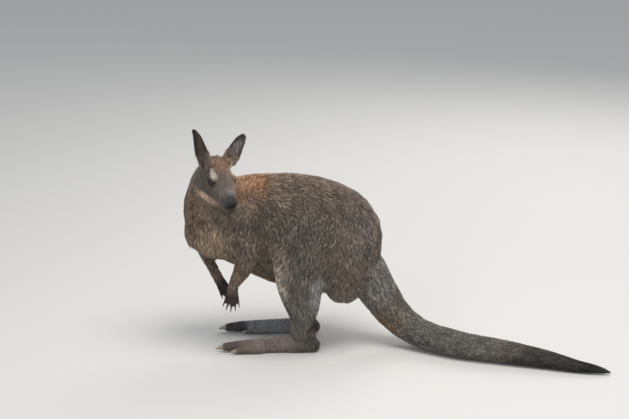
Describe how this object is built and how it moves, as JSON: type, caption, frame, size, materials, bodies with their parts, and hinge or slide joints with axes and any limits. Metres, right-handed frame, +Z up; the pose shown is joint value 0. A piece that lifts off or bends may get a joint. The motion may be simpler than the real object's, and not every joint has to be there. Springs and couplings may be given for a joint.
{
  "type": "red-necked wallaby, standing",
  "caption": "Life-size still model of a red-necked wallaby that stands on its hind feet and tail with its head turned back over the shoulder.",
  "frame": {"origin": "on the floor, in the middle of the animal's bounding box seen from above", "axes": "+X towards the tip of the tail, along the body; the animal's left side is -Y; +Z up from the floor"},
  "size_m": [0.9816, 0.3756, 0.5404],
  "materials": {
    "coat": "dense soft fur, grizzled grey-brown, rufous on the nape and shoulders, pale on the chest, grey on the tail and shanks, dark on hands, feet and muzzle",
    "eye": "dark brown, wet and glossy",
    "claw": "horn, smooth, dark on the hands and paler on the feet"
  },
  "bodies": {
    "root": {"chest": "coat", "claw_foot_left_1": "claw", "claw_foot_left_2": "claw", "claw_foot_left_3": "claw", "claw_foot_right_1": "claw", "claw_foot_right_2": "claw", "claw_foot_right_3": "claw", "claw_hand_left_1": "claw", "claw_hand_left_2": "claw", "claw_hand_left_3": "claw", "claw_hand_left_4": "claw", "claw_hand_left_5": "claw", "claw_hand_right_1": "claw", "claw_hand_right_2": "claw", "claw_hand_right_3": "claw", "claw_hand_right_4": "claw", "claw_hand_right_5": "claw", "ear_left": "coat", "ear_right": "coat", "eye_left": "eye", "eye_right": "eye", "foot_left": "coat", "foot_right": "coat", "forearm_left": "coat", "forearm_right": "coat", "hand_left": "coat", "hand_right": "coat", "head": "coat", "neck": "coat", "rump": "coat", "shank_left": "coat", "shank_right": "coat", "tail_1": "coat", "tail_2": "coat", "tail_3": "coat", "tail_4": "coat", "tail_5": "coat", "thigh_left": "coat", "thigh_right": "coat", "trunk": "coat", "upper_arm_left": "coat", "upper_arm_right": "coat"}
  },
  "joints": []
}
